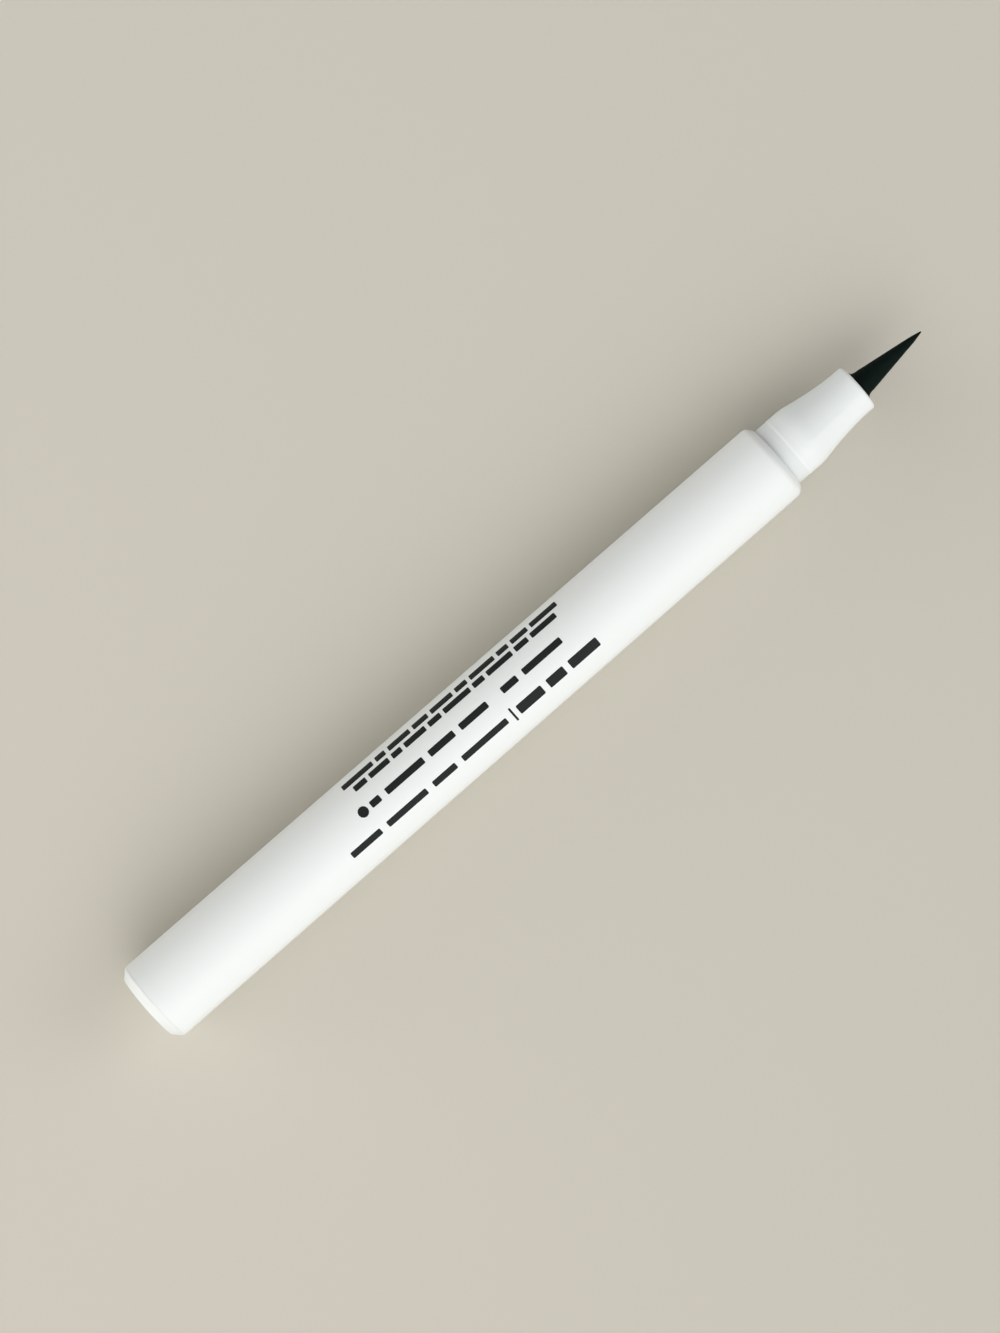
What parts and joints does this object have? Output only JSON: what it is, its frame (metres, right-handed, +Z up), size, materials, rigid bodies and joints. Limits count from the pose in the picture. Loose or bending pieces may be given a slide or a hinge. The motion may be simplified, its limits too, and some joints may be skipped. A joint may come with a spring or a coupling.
{
  "type": "liquid eyeliner pen",
  "caption": "Slim white liquid eyeliner pen, uncapped and lying on its side: tapered barrel, chamfered tail plug, stepped front section and a long black pointed nib.",
  "frame": {"origin": "middle of the pen's length, on the surface that it lies on, straight below its axis", "axes": "+X along the pen towards the nib's point, +Z up, +Y to the left of somebody looking along +X"},
  "size_m": [0.1174, 0.0104, 0.0103],
  "materials": {
    "tail_plug": "white satin moulding",
    "barrel": "white satin moulding with plain dark printed bars",
    "ink_tank": "natural milky moulding",
    "mixing_ball": "polished stainless ball",
    "tank_partition": "plain white moulding",
    "feed_rod": "bonded fibre soaked in black ink",
    "collector": "plain white moulding",
    "tank_gasket": "dark soft ring",
    "front_section": "cool white satin-gloss moulding",
    "nib_holder": "plain white moulding",
    "nib": "black bonded fibre, fine lengthwise grain"
  },
  "bodies": {
    "pen": {"tail_plug": "tail_plug", "barrel": "barrel", "ink_tank": "ink_tank", "tank_partition": "tank_partition", "feed_rod": "feed_rod", "collector": "collector", "tank_gasket": "tank_gasket", "front_section": "front_section", "nib_holder": "nib_holder", "nib": "nib"},
    "ball": {"mixing_ball": "mixing_ball"}
  },
  "joints": [
    {"name": "ball_travel", "type": "slide", "parent": "pen", "child": "ball", "axis": [-1, 0, 0], "range_m": [0, 0.0462]}
  ]
}
